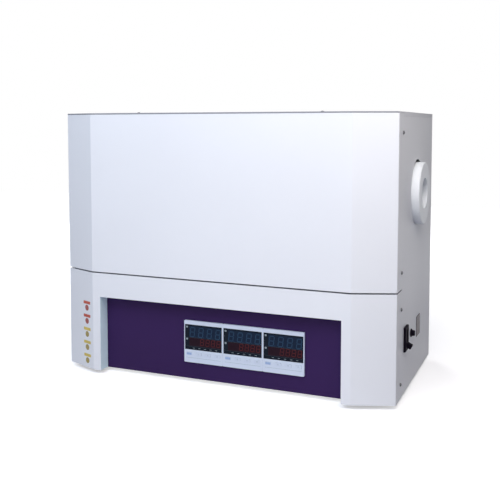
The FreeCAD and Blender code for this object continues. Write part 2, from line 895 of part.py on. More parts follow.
def controller_clamps():
    """Clamps above and below each case, that hold it against the back of the panel."""
    shapes = []
    for x in controller_centres():
        for side in SIDES:
            z_near = controller_mid_z + side * case_side / 2
            z_far = z_near + side * clamp_height
            low, high = sorted((z_near, z_far))
            shapes.append(box(x - clamp_width / 2, x + clamp_width / 2, panel_rear_y,
                              panel_rear_y + clamp_length, low, high))
    return shapes


def breaker_body():
    """Breaker with a framed front, hollow where its lever swings."""
    half_y = breaker_width / 2
    half_z = breaker_height / 2
    front = box(half_width, half_width + breaker_proud, breaker_y - half_y, breaker_y + half_y,
                breaker_mid_z - half_z, breaker_mid_z + half_z)
    rim = [e for e in front.Edges if e.BoundBox.XMin > half_width + breaker_proud - tolerance]
    front = front.makeChamfer(breaker_edge, rim)
    inner_y = half_y - breaker_step
    inner_z = half_z - breaker_step
    case = box(half_width - breaker_depth, half_width, breaker_y - inner_y, breaker_y + inner_y,
               breaker_mid_z - inner_z, breaker_mid_z + inner_z)
    slot_y = lever_width / 2 + lever_side_gap
    reach = breaker_proud + lever_pivot_depth
    angle = math.radians(lever_rest_angle)
    slot_z = reach * math.tan(angle) + lever_thickness / 2 / math.cos(angle) + lever_slot_margin
    slot_start = lever_pivot_x - lever_hub_radius - lever_slot_margin
    slot = box(slot_start, half_width + breaker_proud + cut_margin, breaker_y - slot_y,
               breaker_y + slot_y, breaker_mid_z - slot_z, breaker_mid_z + slot_z)
    bore = rod(pin_radius + pin_clearance, pin_start(), BACK, pin_length())
    return union([front, case]).cut([slot, bore])


def pin_length():
    """Length of the lever's pin over both ends."""
    return lever_width + 2 * (lever_side_gap + pin_end)


def pin_start():
    """Front end of the lever's pin."""
    return Vector(lever_pivot_x, breaker_y - pin_length() / 2, breaker_mid_z)


def breaker_lever():
    """Lever in its lower position, in one with its hub and pin."""
    angle = math.radians(lever_rest_angle)
    half = lever_thickness / 2
    length = (lever_reach + lever_pivot_depth - half * math.sin(angle)) / math.cos(angle)
    pivot = Vector(lever_pivot_x, breaker_y, breaker_mid_z)
    side = BACK * (lever_width / 2)
    arm = box(0, length, -lever_width / 2, lever_width / 2, -half, half)
    tip = [e for e in arm.Edges if is_along_y(e) and e.BoundBox.XMin > length - tolerance]
    arm = arm.makeFillet(lever_tip_round, tip)
    arm.Placement = FreeCAD.Placement(pivot, FreeCAD.Rotation(BACK, lever_rest_angle))
    hub = fitting(lever_hub_radius, pivot - side, BACK, lever_width)
    pin = rod(pin_radius, pin_start() + BACK * pin_end_gap, BACK, pin_length() - 2 * pin_end_gap)
    return union([arm, hub, pin])


def fuse_point(x):
    """Point on the fuse holder's axis."""
    return Vector(x, fuse_y, fuse_mid_z)


def fuse_holder():
    """Round fuse holder through the side sheet, with its nut behind."""
    centre = fuse_point(half_width)
    flange = fitting(fuse_flange_radius, centre, RIGHT, fuse_flange_proud,
                     fuse_flange_radius - fuse_flange_edge)
    barrel = fitting(fuse_barrel_radius, centre, LEFT, fuse_depth)
    bore = rod(fuse_bore_radius, fuse_point(fuse_face_x), LEFT, fuse_face_x - fuse_bore_end_x)
    nut_start = centre + LEFT * (sheet + seat_gap)
    thread = fitting(fuse_barrel_radius, nut_start, LEFT, fuse_nut_thickness)
    nut = hexagon(fuse_nut_flats, nut_start, LEFT, fuse_nut_thickness).cut(thread)
    return [union([flange, barrel]).cut(bore), nut]


def fuse_cap():
    """Tapered cap with a slot, on a stem that turns in the holder and takes the fuse link's end."""
    face = fuse_point(cap_face_x)
    knob = fitting(cap_radius, face, RIGHT, cap_length, cap_tip_radius)
    stem = rod(fuse_bore_radius - fuse_bore_clearance, face, LEFT, cap_stem_length)
    socket = small_round(link_radius + link_clearance, fuse_point(stem_end_x), RIGHT, link_socket_depth)
    tip = face + RIGHT * (cap_length - cap_slot_depth)
    slot = box(tip.x, tip.x + cap_slot_depth + cut_margin, tip.y - cap_radius, tip.y + cap_radius,
               tip.z - cap_slot_width / 2, tip.z + cap_slot_width / 2)
    return union([knob, stem]).cut([slot, socket])


def fuse_link():
    """Small cartridge fuse, held in the cap's stem and resting at the holder's far end."""
    return small_round(link_radius, fuse_point(link_start_x), LEFT, link_length)


def side_plate():
    """Thin bare plate on the right side."""
    y = front_y + plate_setback
    z = case_bottom + plate_z
    return box(half_width, half_width + plate_thickness, y, y + plate_width, z, z + plate_height)


def heat_sink():
    """Extruded heat sink standing on its fins."""
    base_low = base_top + fin_height
    plate = box(sink_x - sink_width / 2, sink_x + sink_width / 2, sink_y - sink_length / 2,
                sink_y + sink_length / 2, base_low, base_low + sink_base)
    step = (sink_width - fin_thickness) / (fin_count - 1)
    fins = []
    for index in range(fin_count):
        x = sink_x - sink_width / 2 + index * step
        fins.append(box(x, x + fin_thickness, sink_y - sink_length / 2, sink_y + sink_length / 2,
                        base_top, base_low))
    return union([plate] + fins)


def power_relays():
    """Three relays on the heat sink, with lowered ends for their terminals."""
    shapes = []
    z = base_top + fin_height + sink_base
    for step in (-1, 0, 1):
        x = sink_x + step * relay_pitch
        half_x = relay_width / 2
        half_y = relay_length / 2
        block = box(x - half_x, x + half_x, sink_y - half_y, sink_y + half_y, z, z + relay_height)
        cuts = []
        for side in SIDES:
            low, high = sorted((sink_y + side * half_y, sink_y + side * (half_y - relay_step)))
            cuts.append(box(x - half_x, x + half_x, low, high, z + relay_height - relay_step_depth,
                            z + relay_height))
        shapes.append(block.cut(cuts))
    return shapes


def terminal_block():
    """Supply terminals with a rib between neighbours."""
    x = half_width - bushing_inset - block_offset - block_length / 2
    y_low = block_y - block_width / 2
    y_high = block_y + block_width / 2
    z = base_top
    block = box(x, x + block_length, y_low, y_high, z, z + block_height - rib_height)
    step = (block_length - rib_thickness) / (block_ways - 1)
    ribs = []
    for index in range(block_ways):
        rib_x = x + index * step
        ribs.append(box(rib_x, rib_x + rib_thickness, y_low, y_high, z, z + block_height))
    return union([block] + ribs)


def main():
    """Build every piece and write its file."""
    os.makedirs("parts", exist_ok=True)
    save("base_plate", [base_plate()])
    save("feet", feet())
    save("foot_screws", foot_screws())
    save("corner_posts", corner_posts())
    save("top_rails", top_rails())
    save("deck_rails", deck_rails())
    save("deck", [deck()])
    save("upper_front_cover", [upper_front_cover()])
    save("lower_front_cover", [lower_front_cover()])
    save("control_panel", [control_panel()])
    save("top_panel", [top_panel()])
    save("left_side_panel", [side_panel(-1)])
    save("right_side_panel", [right_side_panel()])
    save("rear_upper_panel", [rear_upper_panel()])
    save("rear_lower_panel", [rear_lower_panel()])
    save("cord_bushing", [cord_bushing()])
    save("cover_screws", [pan_screw(point, out) for point, out in side_screws() + top_screws()])
    save("rear_screws", [pan_screw(point, out) for point, out in rear_screws()])
    for index, zone in enumerate(ZONES):
        save(zone + "_former", [former(index)])
        save(zone + "_winding", [winding(index)])
        centre_x = controller_centres()[index]
        save(zone + "_controller", [controller(centre_x)])
        for key in range(4):
            key_shape = key_block(centre_x, key, 0, key_length - key_proud)
            save(zone + "_key_" + str(key + 1), [key_shape])
    save("controller_windows", controller_windows())
    save("controller_clamps", controller_clamps())
    save("lead_posts", lead_posts())
    save("upper_insulation", [insulation(True)])
    save("lower_insulation", [insulation(False)])
    save("left_end_board", [end_board(-1)])
    save("right_end_board", [end_board(1)])
    save("heater_jacket", heater_jacket())
    save("saddles", saddles())
    save("thermocouples", thermocouples())
    save("left_collar", [collar(-1)])
    save("right_collar", [collar(1)])
    save("breaker_body", [breaker_body()])
    save("breaker_lever", [breaker_lever()])
    save("fuse_holder", fuse_holder())
    save("fuse_cap", [fuse_cap()])
    save("fuse_link", [fuse_link()])
    save("side_plate", [side_plate()])
    save("heat_sink", [heat_sink()])
    save("power_relays", power_relays())
    save("terminal_block", [terminal_block()])


main()
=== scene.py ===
import json
import math

import bmesh
import bpy
from mathutils import Matrix, Vector


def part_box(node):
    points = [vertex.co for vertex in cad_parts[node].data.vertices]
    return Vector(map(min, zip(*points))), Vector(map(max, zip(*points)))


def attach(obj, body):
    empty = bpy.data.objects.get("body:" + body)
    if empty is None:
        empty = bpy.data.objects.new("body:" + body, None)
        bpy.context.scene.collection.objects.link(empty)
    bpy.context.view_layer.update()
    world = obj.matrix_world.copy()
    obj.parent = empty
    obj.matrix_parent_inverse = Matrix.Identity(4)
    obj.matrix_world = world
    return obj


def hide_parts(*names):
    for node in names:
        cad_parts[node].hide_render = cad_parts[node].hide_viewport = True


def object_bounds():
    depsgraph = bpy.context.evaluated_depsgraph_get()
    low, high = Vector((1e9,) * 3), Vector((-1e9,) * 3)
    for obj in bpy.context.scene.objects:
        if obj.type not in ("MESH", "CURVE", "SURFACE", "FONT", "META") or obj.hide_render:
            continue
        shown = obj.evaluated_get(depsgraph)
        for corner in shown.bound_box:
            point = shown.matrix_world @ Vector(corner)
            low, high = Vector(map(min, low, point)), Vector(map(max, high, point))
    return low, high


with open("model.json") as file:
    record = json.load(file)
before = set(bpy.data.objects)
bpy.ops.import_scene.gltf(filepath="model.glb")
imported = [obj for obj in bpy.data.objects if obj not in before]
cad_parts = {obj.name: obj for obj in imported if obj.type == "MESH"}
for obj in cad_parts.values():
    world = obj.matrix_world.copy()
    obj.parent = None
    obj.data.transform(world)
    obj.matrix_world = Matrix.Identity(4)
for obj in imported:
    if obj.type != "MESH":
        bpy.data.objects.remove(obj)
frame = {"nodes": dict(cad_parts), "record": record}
cad_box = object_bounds()
nodes = frame["nodes"]

MM = 0.001
ZONES = ("left", "middle", "right")

# Camera, fitted to the case's corners in a square picture
CAMERA_PLACE = (0.7179, -1.7320, 0.5824)
CAMERA_YAW = 22.524
CAMERA_PITCH = 3.899
CAMERA_LENS = 55.585
CAMERA_SHIFT = -0.14
SENSOR_WIDTH = 36.0

# Lights: direction from the object in degrees, distance and size in metres, power in watts
TARGET = Vector((0.0, 0.0, 0.32))
LIGHTS = {
    "front_light": {"azimuth": 7, "elevation": 31, "distance": 2.6, "size": 1.9, "power": 41.4,
                    "colour": (0.985, 0.98, 1.0)},
    "right_light": {"azimuth": 50, "elevation": 44, "distance": 1.3, "size": 0.8, "power": 7.0,
                    "colour": (1.0, 0.93, 0.895)},
    "left_light": {"azimuth": -25, "elevation": 42, "distance": 1.6, "size": 1.0, "power": 6.3,
                   "colour": (0.61, 0.775, 1.0)},
    "back_light": {"azimuth": 215, "elevation": 19, "distance": 2.8, "size": 1.4, "power": 36,
                   "colour": (0.97, 0.98, 1.0)},
}
AMBIENT = (0.07, 0.075, 0.088)

# Floor as it lights the object: paler in front of it than beyond its sides, in metres across
FLOOR_IN_FRONT = (0.58, 0.58, 0.62)
FLOOR_ASIDE = (0.18, 0.18, 0.23)
FLOOR_CHANGE = (0.30, 0.60)

# Floor as the camera sees it: its glow grows with the distance from the object, in metres
FLOOR_HALF = 4.0
FLOOR_SEEN = (0.95, 0.95, 0.955)
FLOOR_GLOW = (0.985, 0.985, 1)
FLOOR_FADE = {"From Min": 0.45, "From Max": 1.5, "To Min": 0.40, "To Max": 1.0}

# Display, as shares of the window's width and height from its upper left corner; its sizes of
# bars are width, height and corner radius
BIG_DIGITS = {"first": 0.19, "pitch": 0.230, "top": 0.10, "height": 0.39, "width": 0.115}
SMALL_DIGITS = {"first": 0.457, "pitch": 0.148, "top": 0.535, "height": 0.275, "width": 0.088}
DIGIT_COUNT = 4
LAMP_SPOTS = ((0.055, 0.10), (0.055, 0.58))
LAMP_SPOT_SIZE = (4.4 * MM, 4.0 * MM, 0.8 * MM)
DIVIDER_ROWS = (0.515, 0.865)
DIVIDER_SPAN = (0.03, 0.97)
DIVIDER_WIDTH = 0.35 * MM
DASH_ROW = 0.93
DASH_FIRST = 0.24
DASH_PITCH = 0.152
DASH_COUNT = 5
DASH_SIZE = (5.2 * MM, 0.9 * MM, 0.3 * MM)
DIGIT_SLANT = 0.12
BACKINGS = {"big": (0.115, 0.975, 0.055, 0.505), "small": (0.115, 0.975, 0.525, 0.855)}
BACKING_THICKNESS = 0.03 * MM
BACKING_CORNER = 0.6 * MM
PRINT_THICKNESS = 0.06 * MM

# Segments, as shares of a digit's width and then of their own stroke
SEGMENT_STROKE = 0.19
SEGMENT_GAP = 0.12
POINT_ASIDE = 1.3
POINT_LIFT = 0.45
POINT_RADIUS = 0.42
POINT_FLATS = 10

# Marks on the keys, and the fine line under them
MARK_STROKE = 0.6 * MM
MARK_REACH = 1.7 * MM
MARK_SLOPE = 0.6
FIRST_MARK = (12.4 * MM, 5.2 * MM, 1.2 * MM)
FACE_LINE = (86 * MM, 0.5 * MM, 0.2 * MM)
FACE_LINE_LIFT = 10.8 * MM
MARK_THICKNESS = 0.04 * MM

# Front corners of the case, as in the part's source
HALF_WIDTH = 400 * MM
HALF_DEPTH = 215 * MM
CHAMFER_WIDTH = 87.6 * MM
CHAMFER_DEPTH = 34.1 * MM

# Blank tags on the left corner facet: height of the first above the cover's foot, place across,
# bars, and spots as height, radius and flats
TAG_COUNT = 5
RED_TAGS = 2
FIRST_TAG = 156.8 * MM
TAG_PITCH = 31.8 * MM
TAG_ACROSS = 65.0 * MM
TAG_BAR = (27 * MM, 7 * MM, 1.2 * MM)
TAG_SPOT = (-12.5 * MM, 7.0 * MM, 28)
TAG_THICKNESS = 0.15 * MM

# Screws
HEAD_RADIUS = 4.0 * MM
HEAD_HEIGHT = 3.0 * MM
HEAD_SIDE = 0.30
HEAD_STEPS = 6
HEAD_ROUNDNESS = 0.8
SHANK_RADIUS = 2.0 * MM
SHANK_LENGTH = 9.0 * MM
SCREW_FLATS = 28
CROSS_SIZE = (4.4 * MM, 0.9 * MM, 2.6 * MM)
FIRST_TURN = 0.3
TURN_STEP = 0.7
MERGE_DISTANCE = 0.001 * MM
SCREW_MERGE_DISTANCE = 0.0001 * MM

# Smooth shading: the angle in degrees above which an edge stays sharp
CREASE_ANGLE = 30
SCREW_CREASE_ANGLE = 35

# Noise, the share of its range that the finishes use, and their depths of relief
NOISE_RANGE = (0.25, 0.75)
CLOUD_DETAIL = 3.0
GRAIN_RELIEF = 0.35
FIBRE = {"scale": 900, "detail": 6.0, "stretch": (1, 1, 0.35), "gloss": 0.75, "relief": 0.4,
         "depth": 0.12 * MM, "roughness": (0.42, 0.55), "tint": (0.97, 1.02)}
SPECKS = {"scale": 260, "detail": 1.0, "colour": (0.86, 0.85, 0.83), "start": 0.22, "end": 0.30}
BRUSHED = {"scale": 500, "detail": 4.0, "relief": 0.3, "depth": 0.02 * MM, "change": 0.06,
           "smoother": 0.05, "rougher": 0.08}

# Which way a face looks, for the masks that place painted light and shade: the least share of its
# direction along an axis, and for the reveals the most of the share to the side times the place aside
# in metres
FACING = 0.5
REVEAL_LIMIT = -0.15


# Materials

def new_material(name):
    """New material, its nodes and its Principled shader."""
    material = bpy.data.materials.new(name)
    material.use_nodes = True
    tree = material.node_tree
    shader = tree.nodes["Principled BSDF"]
    return material, tree, shader


def add_node(tree, kind, **inputs):
    """Shader node with some of its inputs set by name."""
    node = tree.nodes.new(kind)
    for key, value in inputs.items():
        node.inputs[key.replace("_", " ")].default_value = value
    return node


def object_coordinates(tree, stretch=(1, 1, 1)):
    """Place on the object, stretched along its axes."""
    where = tree.nodes.new("ShaderNodeTexCoord")
    mapping = tree.nodes.new("ShaderNodeMapping")
    mapping.inputs["Scale"].default_value = stretch
    tree.links.new(where.outputs["Object"], mapping.inputs["Vector"])
    return mapping.outputs["Vector"]


def noise(tree, scale, detail=2.0, stretch=(1, 1, 1)):
    """Noise over the object; the scale is cells per metre."""
    node = add_node(tree, "ShaderNodeTexNoise", Scale=scale, Detail=detail)
    tree.links.new(object_coordinates(tree, stretch), node.inputs["Vector"])
    return node.outputs["Fac"]


def ramp(tree, source, low, high, start=0.3, end=0.7):
    """Colour that runs from low to high as the source goes from start to end."""
    node = tree.nodes.new("ShaderNodeValToRGB")
    node.color_ramp.elements[0].position = start
    node.color_ramp.elements[1].position = end
    node.color_ramp.elements[0].color = (*low, 1)
    node.color_ramp.elements[1].color = (*high, 1)
    tree.links.new(source, node.inputs["Fac"])
    return node.outputs["Color"]


def spread(tree, source, low, high):
    """Number that runs from low to high with the source."""
    node = tree.nodes.new("ShaderNodeMapRange")
    node.inputs["From Min"].default_value = NOISE_RANGE[0]
    node.inputs["From Max"].default_value = NOISE_RANGE[1]
    node.inputs["To Min"].default_value = low
    node.inputs["To Max"].default_value = high
    tree.links.new(source, node.inputs["Value"])
    return node.outputs["Result"]


def bump(tree, shader, source, strength, depth):
    """Relief of the given depth in metres."""
    node = add_node(tree, "ShaderNodeBump", Strength=strength, Distance=depth)
    tree.links.new(source, node.inputs["Height"])
    tree.links.new(node.outputs["Normal"], shader.inputs["Normal"])


def shade(colour, factor):
    """Colour made lighter or darker."""
    return tuple(min(channel * factor, 1.0) for channel in colour)


def finish(name, colour, roughness, grain=600, grain_depth=0.03 * MM, change=0.02, cloud=6,
           metal=0.0, specular=0.5, roughness_change=0.04):
    """Surface with fine relief and slow changes of colour and gloss."""
    material, tree, shader = new_material(name)
    shader.inputs["Metallic"].default_value = metal
    shader.inputs["Specular IOR Level"].default_value = specular
    clouds = noise(tree, cloud, CLOUD_DETAIL)
    tint = ramp(tree, clouds, shade(colour, 1 - change), shade(colour, 1 + change))
    tree.links.new(tint, shader.inputs["Base Color"])
    gloss = spread(tree, clouds, roughness - roughness_change, roughness + roughness_change)
    tree.links.new(gloss, shader.inputs["Roughness"])
    bump(tree, shader, noise(tree, grain), GRAIN_RELIEF, grain_depth)
    return material


def mixed(tree, factor, first, second, way="MIX"):
    """Colour between two others; each may be a colour or another node's output."""
    mix = tree.nodes.new("ShaderNodeMix")
    mix.data_type = "RGBA"
    mix.blend_type = way
    for socket, value in (("Factor", factor), ("A", first), ("B", second)):
        if isinstance(value, bpy.types.NodeSocket):
            tree.links.new(value, mix.inputs[socket])
        elif isinstance(value, tuple):
            mix.inputs[socket].default_value = (*value, 1)
        else:
            mix.inputs[socket].default_value = value
    return mix.outputs["Result"]


def fibre_finish(name, colour):
    """Hardened ceramic fibre: a smooth moulded skin with fine strands and a few darker specks."""
    material, tree, shader = new_material(name)
    shader.inputs["Specular IOR Level"].default_value = FIBRE["gloss"]
    strands = noise(tree, FIBRE["scale"], FIBRE["detail"], FIBRE["stretch"])
    specks = noise(tree, SPECKS["scale"], SPECKS["detail"])
    base = ramp(tree, strands, *(shade(colour, factor) for factor in FIBRE["tint"]))
    dark = ramp(tree, specks, SPECKS["colour"], (1, 1, 1), SPECKS["start"], SPECKS["end"])
    tree.links.new(mixed(tree, 1.0, base, dark, "MULTIPLY"), shader.inputs["Base Color"])
    tree.links.new(spread(tree, strands, *FIBRE["roughness"]), shader.inputs["Roughness"])
    bump(tree, shader, strands, FIBRE["relief"], FIBRE["depth"])
    return material


def normal_part(tree, axis):
    """One part of the direction that a face looks in."""
    geometry = tree.nodes.new("ShaderNodeNewGeometry")
    parts = tree.nodes.new("ShaderNodeSeparateXYZ")
    tree.links.new(geometry.outputs["True Normal"], parts.inputs["Vector"])
    return parts.outputs[axis]


def calculated(tree, operation, *values, clamp=False):
    """Result of a sum, product or test; each value may be a number or another node's output."""
    node = tree.nodes.new("ShaderNodeMath")
    node.operation = operation
    node.use_clamp = clamp
    for socket, value in zip(node.inputs, values):
        if isinstance(value, bpy.types.NodeSocket):
            tree.links.new(value, socket)
        else:
            socket.default_value = value
    return node.outputs[0]


def painted_shade_front_edges(tree):
    """One on edges that look to the front, where the top panel's lip is painted dark grey as painted
    shade, and zero elsewhere.
    """
    return calculated(tree, "LESS_THAN", normal_part(tree, "Y"), -FACING)


def painted_light_reveals(tree):
    """One on faces that look towards the middle plane, where the lower cover's opening is painted
    bluish light, and zero elsewhere.
    """
    place = tree.nodes.new("ShaderNodeSeparateXYZ")
    tree.links.new(object_coordinates(tree), place.inputs["Vector"])
    product = calculated(tree, "MULTIPLY", normal_part(tree, "X"), place.outputs["X"])
    return calculated(tree, "LESS_THAN", product, REVEAL_LIMIT)


def painted_shade_seam_edges(tree):
    """One on edges that look up, as inside a seam, where the lower cover is painted dark as painted
    shade, and zero elsewhere.
    """
    return calculated(tree, "GREATER_THAN", normal_part(tree, "Z"), FACING)


def toned_paint(name, *painted_tones, specular=0.14):
    """Pale paint with painted light or shade on some of its faces: another colour where each mask is
    one.
    """
    material = finish(name, WHITE_PAINT, specular=specular, **PALE_PAINT)
    tree = material.node_tree
    colour_input = tree.nodes["Principled BSDF"].inputs["Base Color"]
    for colour, where in painted_tones:
        base = colour_input.links[0].from_socket
        tree.links.new(mixed(tree, where(tree), base, colour), colour_input)
    return material


def brushed_finish(name, colour, roughness, stretch):
    """Bare metal with drawn lines along one axis."""
    material, tree, shader = new_material(name)
    shader.inputs["Metallic"].default_value = 1.0
    lines = noise(tree, BRUSHED["scale"], BRUSHED["detail"], stretch)
    change = BRUSHED["change"]
    tint = ramp(tree, lines, shade(colour, 1 - change), shade(colour, 1 + change))
    tree.links.new(tint, shader.inputs["Base Color"])
    gloss = spread(tree, lines, roughness - BRUSHED["smoother"], roughness + BRUSHED["rougher"])
    tree.links.new(gloss, shader.inputs["Roughness"])
    bump(tree, shader, lines, BRUSHED["relief"], BRUSHED["depth"])
    return material


WHITE_PAINT = (0.80, 0.82, 0.86)
PALE_PAINT = {"roughness": 0.40, "grain": 700, "grain_depth": 0.02 * MM, "change": 0.008}
MATERIALS = {
    "pale_paint": toned_paint("pale_paint"),
    "purple_paint": finish("purple_paint", (0.031, 0.0128, 0.071), 0.5, grain=900,
                           grain_depth=0.03 * MM, change=0.06, specular=0.1),
    "plated_steel": finish("plated_steel", (0.60, 0.61, 0.60), 0.38, metal=1.0, cloud=40, change=0.06),
    "jacket_steel": brushed_finish("jacket_steel", (0.62, 0.63, 0.64), 0.34, (0.02, 1, 1)),
    "dark_screws": finish("dark_screws", (0.10, 0.10, 0.11), 0.36, metal=1.0, cloud=400, change=0.15),
    "foot_rubber": finish("foot_rubber", (0.018, 0.018, 0.019), 0.7, grain=1500, change=0.15, cloud=60),
    "foot_steel": finish("foot_steel", (0.55, 0.55, 0.54), 0.36, metal=1.0, cloud=200, change=0.08),
    "ceramic_fibre": fibre_finish("ceramic_fibre", (0.90, 0.945, 0.985)),
    "former_ceramic": finish("former_ceramic", (0.78, 0.72, 0.62), 0.75, grain=500,
                             grain_depth=0.1 * MM, change=0.05, cloud=30),
    "heater_wire": finish("heater_wire", (0.15, 0.13, 0.11), 0.55, metal=0.6, cloud=300, change=0.2),
    "bezel_plastic": finish("bezel_plastic", (0.60, 0.67, 0.79), 0.42, grain=2500,
                            grain_depth=0.015 * MM, change=0.012, cloud=30),
    "window_plastic": finish("window_plastic", (0.0065, 0.0115, 0.020), 0.12, grain=1200,
                             grain_depth=0.002 * MM, change=0.1, cloud=40, specular=0.06,
                             roughness_change=0.02),
    "key_rubber": finish("key_rubber", (0.58, 0.65, 0.775), 0.6, grain=2500, grain_depth=0.02 * MM,
                         change=0.02, cloud=200),
    "black_plastic": finish("black_plastic", (0.008, 0.006, 0.012), 0.55, grain=1800,
                            grain_depth=0.03 * MM, change=0.15, cloud=120, specular=0.015),
    "bare_plate": brushed_finish("bare_plate", (0.046, 0.036, 0.043), 0.45, (1, 0.02, 1)),
    "sink_aluminium": brushed_finish("sink_aluminium", (0.58, 0.59, 0.61), 0.36, (1, 0.03, 1)),
}
NODE_MATERIALS = {
    # Painted shade: the corner posts show only through the seam, so their plated steel is made near
    # black for the shade inside the narrow gap.
    "corner_posts": finish("post_steel_painted_shade", (0.12, 0.12, 0.13), 0.55, metal=1.0, cloud=40, change=0.06),
    # Painted shade: the top panel's lip that looks to the front is painted dark grey for the shade that
    # lies on it.
    "top_panel": toned_paint("top_panel_paint_painted_shade", ((0.30, 0.31, 0.34), painted_shade_front_edges), specular=0.03),
    # Painted light: the side faces of the lower cover's opening are painted bluer and paler for the
    # bluish light on them.
    "lower_front_cover": toned_paint("cover_paint_painted_light_and_shade", ((0.75, 0.93, 1.0), painted_light_reveals),
                                     # Painted shade: the lower cover's faces that look up into the seam
                                     # are painted dark for the shade in the seam.
                                     ((0.22, 0.23, 0.27), painted_shade_seam_edges)),
}
PRINT = {"roughness": 0.5, "cloud": 400, "change": 0.08}
SEGMENTS = {"roughness": 0.5, "cloud": 200, "change": 0.1, "specular": 0.1}
BACKING = {"roughness": 0.4, "cloud": 200, "change": 0.1, "specular": 0.05}
BIG_BACKING = finish("big_backing", (0.010, 0.019, 0.040), **BACKING)
SMALL_BACKING = finish("small_backing", (0.017, 0.007, 0.013), **BACKING)
BIG_SEGMENTS = finish("big_segments", (0.017, 0.044, 0.088), **SEGMENTS)
SMALL_SEGMENTS = finish("small_segments", (0.070, 0.012, 0.014), **SEGMENTS)
WINDOW_PRINT = finish("window_print", (0.22, 0.27, 0.30), **PRINT)
WINDOW_LINE = finish("window_line", (0.020, 0.035, 0.055), 0.4, cloud=400, change=0.1)
KEY_PRINT = finish("key_print", (0.27, 0.37, 0.42), **PRINT)
KEY_PRINT_BLUE = finish("key_print_blue", (0.30, 0.41, 0.64), **PRINT)
TAG = {"roughness": 0.5, "grain": 1500, "cloud": 90, "change": 0.1, "specular": 0.3}
TAG_RED = (finish("tag_red", (0.46, 0.085, 0.055), **TAG),
           finish("tag_red_spot", (0.33, 0.085, 0.075), **TAG))
TAG_YELLOW = (finish("tag_yellow", (0.62, 0.49, 0.12), **TAG),
              finish("tag_yellow_spot", (0.34, 0.27, 0.09), **TAG))

ROUND_NODES = ("feet", "cord_bushing", "fuse_holder", "fuse_cap", "fuse_link", "heater_jacket",
               "left_collar", "right_collar", "left_former", "middle_former", "right_former")


def smooth_by_angle(mesh, degrees):
    """Smooth shading with creases where faces meet more sharply than the angle."""
    mesh.shade_smooth()
    mesh.set_sharp_from_angle(angle=math.radians(degrees))


def dress_nodes():
    """Give every node of the frame its material, and smooth the round ones."""
    for name in ROUND_NODES:
        smooth_by_angle(nodes[name].data, CREASE_ANGLE)
    for part in frame["record"]["subparts"]:
        mesh = nodes[part["node"]].data
        mesh.materials.clear()
        mesh.materials.append(NODE_MATERIALS.get(part["node"], MATERIALS[part["material_slot"]]))


# Pieces

def add_piece(name, mesh, material, body):
    """New piece of the object that rides on a body."""
    mesh.materials.append(material)
    piece = bpy.data.objects.new(name, mesh)
    bpy.context.scene.collection.objects.link(piece)
    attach(piece, body)
    return piece


def prism(form, outline, origin, across, up, thickness):
    """Flat plate in a mesh under construction: an outline in two directions, with a thickness."""
    out = across.cross(up)
    layers = []
    for lift in (0.0, thickness):
        layers.append([form.verts.new(origin + across * u + up * v + out * lift) for u, v in outline])
    form.faces.new(layers[1])
    form.faces.new(list(reversed(layers[0])))
    count = len(outline)
    for index in range(count):
        after = (index + 1) % count
        form.faces.new((layers[0][index], layers[0][after], layers[1][after], layers[1][index]))


def mesh_from(name, form):
    """Finished mesh from a mesh under construction."""
    mesh = bpy.data.meshes.new(name)
    bmesh.ops.recalc_face_normals(form, faces=form.faces)
    form.to_mesh(mesh)
    form.free()
    return mesh


def rounded_bar(u, v, width, height, radius, steps=4):
    """Outline of a rectangle with rounded corners about the point (u, v)."""
    outline = []
    for corner, (side_u, side_v) in enumerate(((1, 1), (-1, 1), (-1, -1), (1, -1))):
        centre_u = u + side_u * (width / 2 - radius)
        centre_v = v + side_v * (height / 2 - radius)
        for step in range(steps + 1):
            turn = math.pi / 2 * (corner + step / steps)
            outline.append((centre_u + radius * math.cos(turn), centre_v + radius * math.sin(turn)))
    return outline


def disc(u, v, radius, steps=20):
    """Outline of a circle about the point (u, v)."""
    turns = [2 * math.pi * step / steps for step in range(steps)]
    return [(u + radius * math.cos(turn), v + radius * math.sin(turn)) for turn in turns]


def stroke(u0, v0, u1, v1, width):
    """Outline of a straight line of the given width."""
    length = math.hypot(u1 - u0, v1 - v0)
    du = (v1 - v0) / length * width / 2
    dv = (u1 - u0) / length * width / 2
    return [(u0 + du, v0 - dv), (u1 + du, v1 - dv), (u1 - du, v1 + dv), (u0 - du, v0 + dv)]


def segment(u0, v0, u1, v1, width):
    """Outline of one display segment: a bar with pointed ends."""
    length = math.hypot(u1 - u0, v1 - v0)
    along = ((u1 - u0) / length, (v1 - v0) / length)
    aside = (along[1], -along[0])
    half = width / 2
    points = []
    for start, sign in (((u0, v0), 1), ((u1, v1), -1)):
        shoulder = (start[0] + along[0] * half * sign, start[1] + along[1] * half * sign)
        points.append([(shoulder[0] - aside[0] * half * sign, shoulder[1] - aside[1] * half * sign),
                       start,
                       (shoulder[0] + aside[0] * half * sign, shoulder[1] + aside[1] * half * sign)])
    return points[0] + points[1]


def digit_segments(centre_u, bottom_v, width, height):
    """Outlines of the seven segments of an unlit digit and its point, leaning to the right."""
    stroke_width = width * SEGMENT_STROKE
    gap = stroke_width * SEGMENT_GAP
    middle = bottom_v + height / 2
    left, right = centre_u - width / 2, centre_u + width / 2
    low, high = bottom_v + stroke_width / 2, bottom_v + height - stroke_width / 2
    lines = []
    for v in (low, middle, high):
        lines.append((left + gap, v, right - gap, v))
    for u in (left, right):
        lines.append((u, low + gap, u, middle - gap))
        lines.append((u, middle + gap, u, high - gap))
    outlines = [segment(*line, stroke_width) for line in lines]
    outlines.append(disc(right + stroke_width * POINT_ASIDE, bottom_v + stroke_width * POINT_LIFT,
                         stroke_width * POINT_RADIUS, POINT_FLATS))
    return [[(u + (v - bottom_v) * DIGIT_SLANT, v) for u, v in outline] for outline in outlines]


def face_piece(name, outlines, origin, material, body, thickness=PRINT_THICKNESS):
    """Printed or moulded marks that lie on a face which looks to the front."""
    form = bmesh.new()
    for outline in outlines:
        prism(form, outline, origin, Vector((1, 0, 0)), Vector((0, 0, 1)), thickness)
    return add_piece(name, mesh_from(name, form), material, body)


